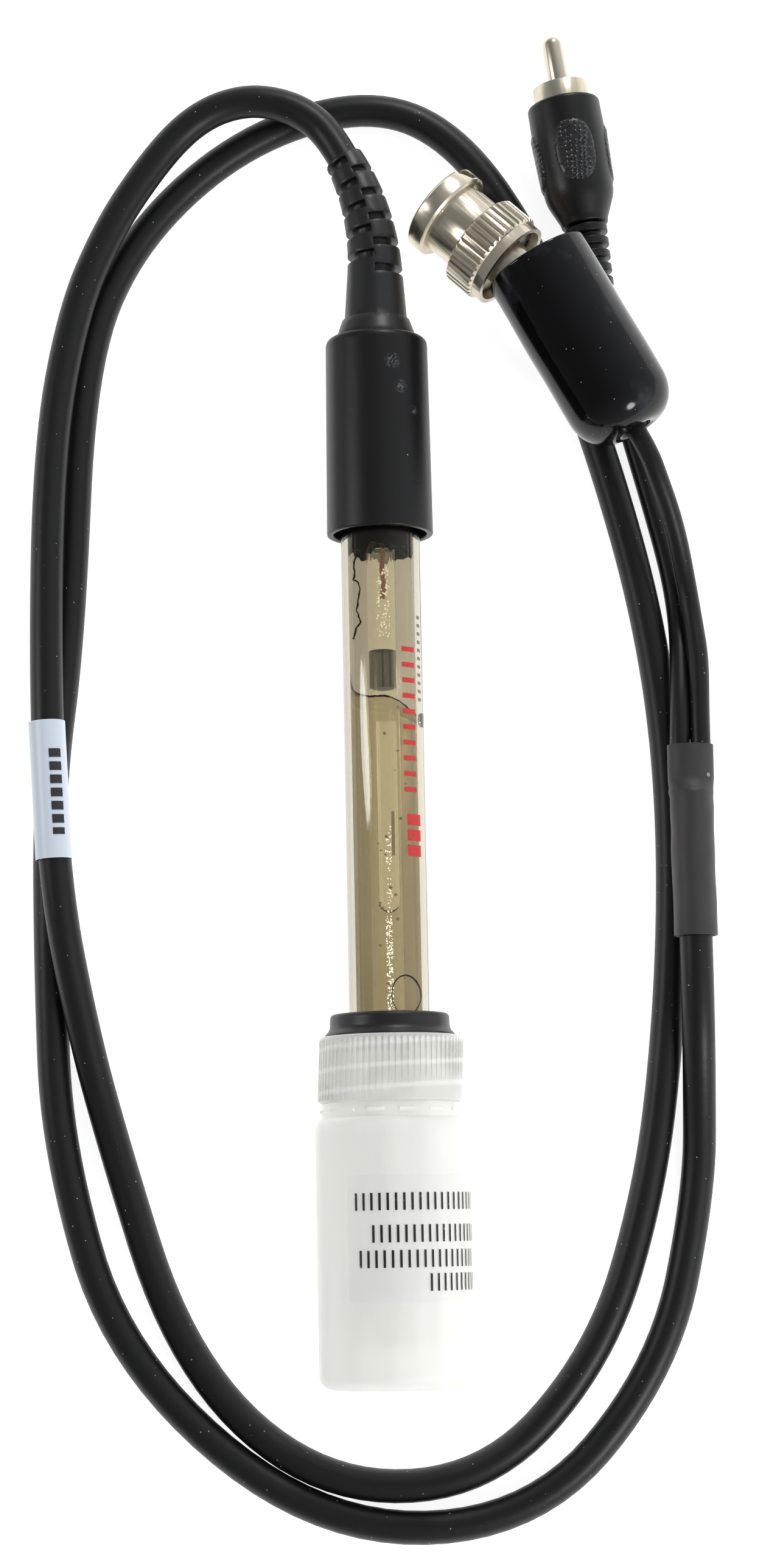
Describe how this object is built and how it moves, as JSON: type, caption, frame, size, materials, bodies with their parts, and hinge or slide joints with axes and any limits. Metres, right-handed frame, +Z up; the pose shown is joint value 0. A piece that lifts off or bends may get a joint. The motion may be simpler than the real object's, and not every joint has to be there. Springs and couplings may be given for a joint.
{
  "type": "ph electrode",
  "caption": "Combination pH electrode with a temperature sensor, in its storage bottle, with a looped cord that splits to a BNC plug in a boot and a cinch plug.",
  "frame": {"origin": "on the table under the middle of the electrode and its bottle, without the cord", "axes": "+Y along the electrode towards its head, +Z up from the table it lies on"},
  "size_m": [0.1036, 0.2308, 0.0228],
  "materials": {
    "storage_bottle": "translucent white polyethylene, satin",
    "cap_plastic": "translucent, satin, fine upright ribs",
    "black_rubber": "black rubber, matt",
    "clear_film": "clear film label, glossy",
    "smoked_plastic": "smoky transparent plastic, glossy",
    "gel": "clear gel",
    "stem_glass": "clear thin glass",
    "black_moulding": "black moulded plastic, satin",
    "potting": "black potting, matt",
    "cord_jacket": "black jacket, satin",
    "heat_shrink": "black heat-shrink, matt",
    "label_paper": "white label, satin",
    "boot_vinyl": "black dipped vinyl, glossy",
    "nickel": "bright nickel plating",
    "pin_gold": "gold plated",
    "white_insulator": "white, satin",
    "copper_wire": "bare copper",
    "brown_wire": "coated wire, brown",
    "ceramic": "porous white ceramic",
    "sensor_steel": "thin steel tube"
  },
  "bodies": {
    "electrode": {"shaft_tube": "smoked_plastic", "fill_plug": "black_rubber", "tip_seal": "potting", "junction": "ceramic", "sensor_tube": "sensor_steel", "glass_stem": "stem_glass", "potting": "potting", "stopper": "black_rubber", "lead_wire": "copper_wire", "reference_cartridge": "stem_glass", "reference_wire": "brown_wire", "gel": "gel", "head": "black_moulding", "strain_relief": "black_rubber", "main_cord": "cord_jacket", "cable_label": "label_paper", "heat_shrink_sleeve": "heat_shrink", "cinch_lead": "cord_jacket", "bnc_lead": "cord_jacket", "boot": "boot_vinyl", "plug_body": "nickel", "seal_ring": "black_rubber", "wave_washer": "nickel", "retaining_ring": "nickel", "bnc_insulator": "white_insulator", "bnc_pin": "pin_gold", "crimp_ferrule": "nickel", "cinch_pin": "nickel", "cinch_shell": "nickel", "cinch_insulator": "white_insulator", "cinch_body": "black_moulding"},
    "seal": {"gasket": "black_rubber"},
    "cap": {"bottle_cap": "cap_plastic"},
    "bottle": {"bottle": "storage_bottle", "bottle_film": "clear_film"},
    "nut": {"coupling_nut": "nickel"}
  },
  "joints": [
    {"name": "gasket_slide", "type": "slide", "parent": "electrode", "child": "seal", "axis": [0, -1, 0], "range_m": [-0.003, 0.005]},
    {"name": "cap_turn", "type": "hinge", "parent": "seal", "child": "cap", "pos_m": [0, -0.0475, 0.01135], "axis": [0, 1, 0], "range_deg": [0, 432]},
    {"name": "bottle_unscrew", "type": "slide", "parent": "seal", "child": "bottle", "axis": [0, -1, 0], "range_m": [0, 0.00385]},
    {"name": "nut_turn", "type": "hinge", "parent": "electrode", "child": "nut", "pos_m": [0.00992, 0.08509, 0.01018], "axis": [-0.7123, 0.6879, -0.1392], "continuous": true}
  ],
  "couplings": [
    {"joint": "bottle_unscrew", "follows": "cap_turn", "m_per_rad": 0.0005093}
  ]
}
